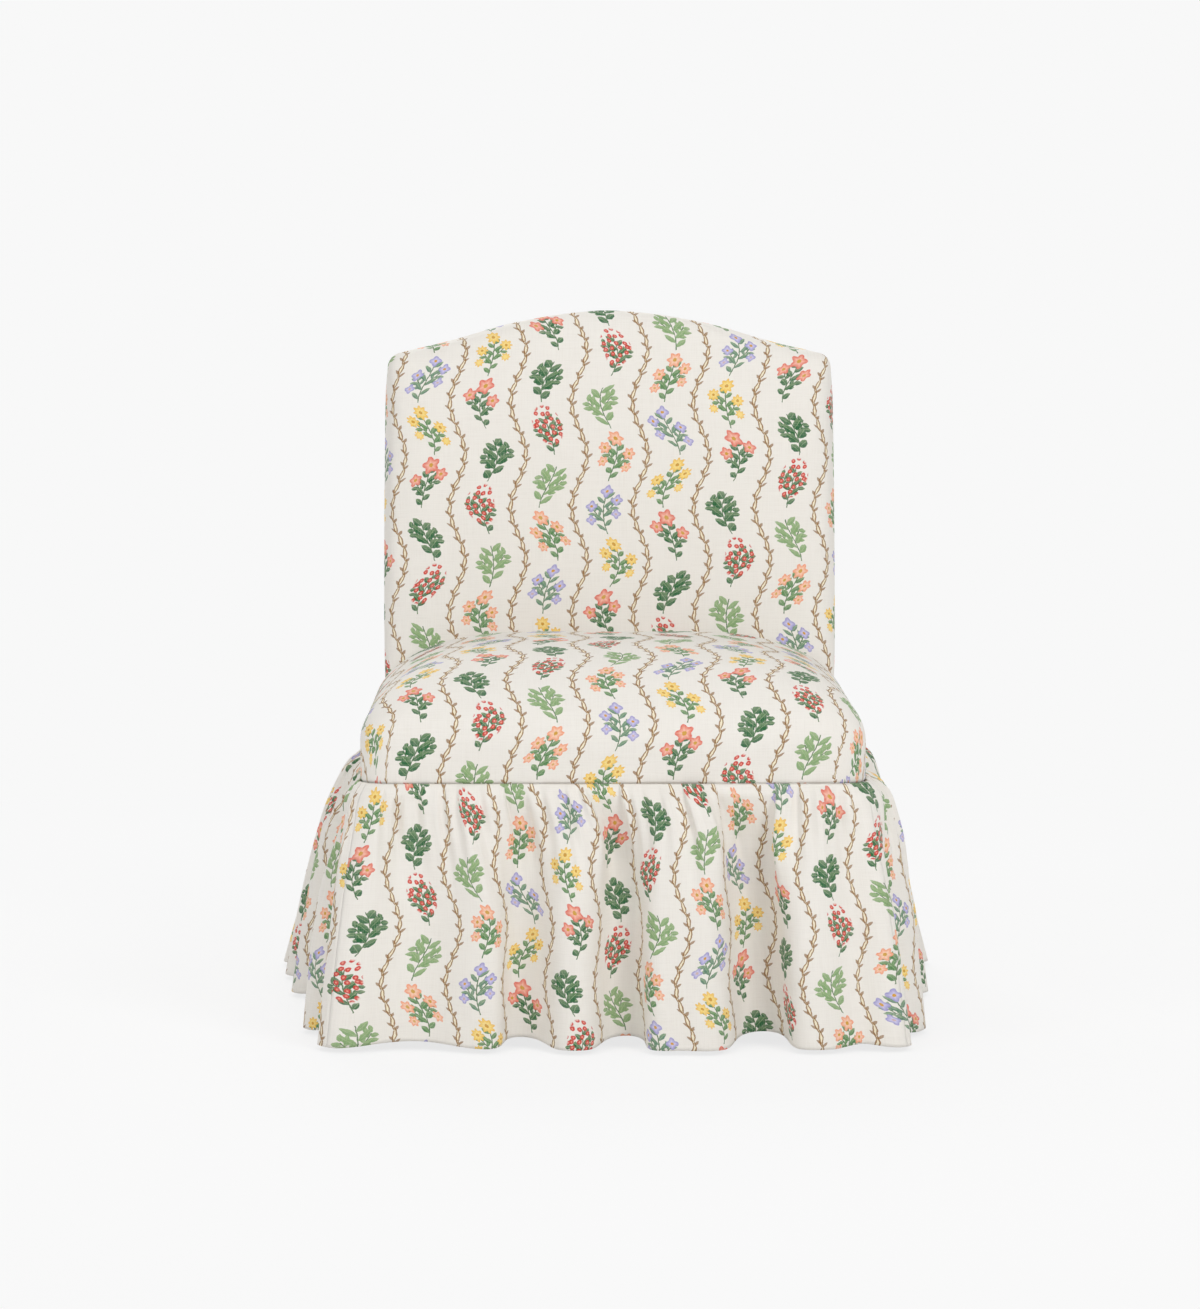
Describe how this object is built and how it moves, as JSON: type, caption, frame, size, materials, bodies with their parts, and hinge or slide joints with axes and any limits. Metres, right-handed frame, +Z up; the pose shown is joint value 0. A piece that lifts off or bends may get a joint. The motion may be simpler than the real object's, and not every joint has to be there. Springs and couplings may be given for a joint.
{
  "type": "slipper chair",
  "caption": "Armless skirted slipper chair with an arched raked back, a crowned tight seat and a full gathered skirt over hidden legs.",
  "frame": {"origin": "centre of the bounding box's base, on the floor", "axes": "+X to the sitter's left, -Y towards the front of the seat, +Z up"},
  "size_m": [0.8656, 0.7553, 0.8799],
  "materials": {
    "batting": "lofted polyester wadding",
    "card": "pressed card",
    "dark_leg_wood": "satin lacquer",
    "deck_cloth": "heavy calico",
    "dust_cloth": "spun-bonded cloth",
    "foam": "open cell foam",
    "frame_hardwood": "sawn and planed, unfinished",
    "jute": "plain jute weave",
    "nylon": "matt",
    "print_linen": "linen-type weave with a printed trail of flowers",
    "spring_steel": "oiled",
    "zinc_steel": "zinc plated"
  },
  "bodies": {
    "root": {"back_batting": "batting", "back_bolt_nuts": "zinc_steel", "back_bolt_washers": "zinc_steel", "back_bolts": "zinc_steel", "back_burlap": "jute", "back_cross_rail": "frame_hardwood", "back_cross_webbing_1": "jute", "back_cross_webbing_2": "jute", "back_cross_webbing_3": "jute", "back_foam": "foam", "back_post_left": "frame_hardwood", "back_post_right": "frame_hardwood", "back_tack_strips": "card", "back_top_rail": "frame_hardwood", "back_upright_webbing_1": "jute", "back_upright_webbing_2": "jute", "back_upright_webbing_3": "jute", "corner_block_front_left": "frame_hardwood", "corner_block_front_right": "frame_hardwood", "corner_block_rear_left": "frame_hardwood", "corner_block_rear_right": "frame_hardwood", "corner_block_screws": "zinc_steel", "dust_cover": "dust_cloth", "dust_cover_staples": "zinc_steel", "frame_dowels": "frame_hardwood", "glide_front_left": "nylon", "glide_front_right": "nylon", "glide_rear_left": "nylon", "glide_rear_right": "nylon", "inside_back_cover": "print_linen", "leg_front_left": "dark_leg_wood", "leg_front_right": "dark_leg_wood", "leg_hanger_bolts": "zinc_steel", "leg_rear_left": "dark_leg_wood", "leg_rear_right": "dark_leg_wood", "leg_tnuts": "zinc_steel", "outside_back_batting": "batting", "outside_back_panel": "print_linen", "seat_batting": "batting", "seat_cover": "print_linen", "seat_deck_cloth": "deck_cloth", "seat_foam": "foam", "seat_front_rail": "frame_hardwood", "seat_rear_rail": "frame_hardwood", "seat_side_rail_left": "frame_hardwood", "seat_side_rail_right": "frame_hardwood", "seat_spring_1": "spring_steel", "seat_spring_2": "spring_steel", "seat_spring_3": "spring_steel", "seat_spring_4": "spring_steel", "seat_spring_5": "spring_steel", "skirt_front": "print_linen", "skirt_left": "print_linen", "skirt_rear": "print_linen", "skirt_right": "print_linen", "skirt_tack_strips": "card", "spring_clips": "spring_steel", "spring_tie_wires": "spring_steel", "tie_wire_saddles": "spring_steel"}
  },
  "joints": []
}
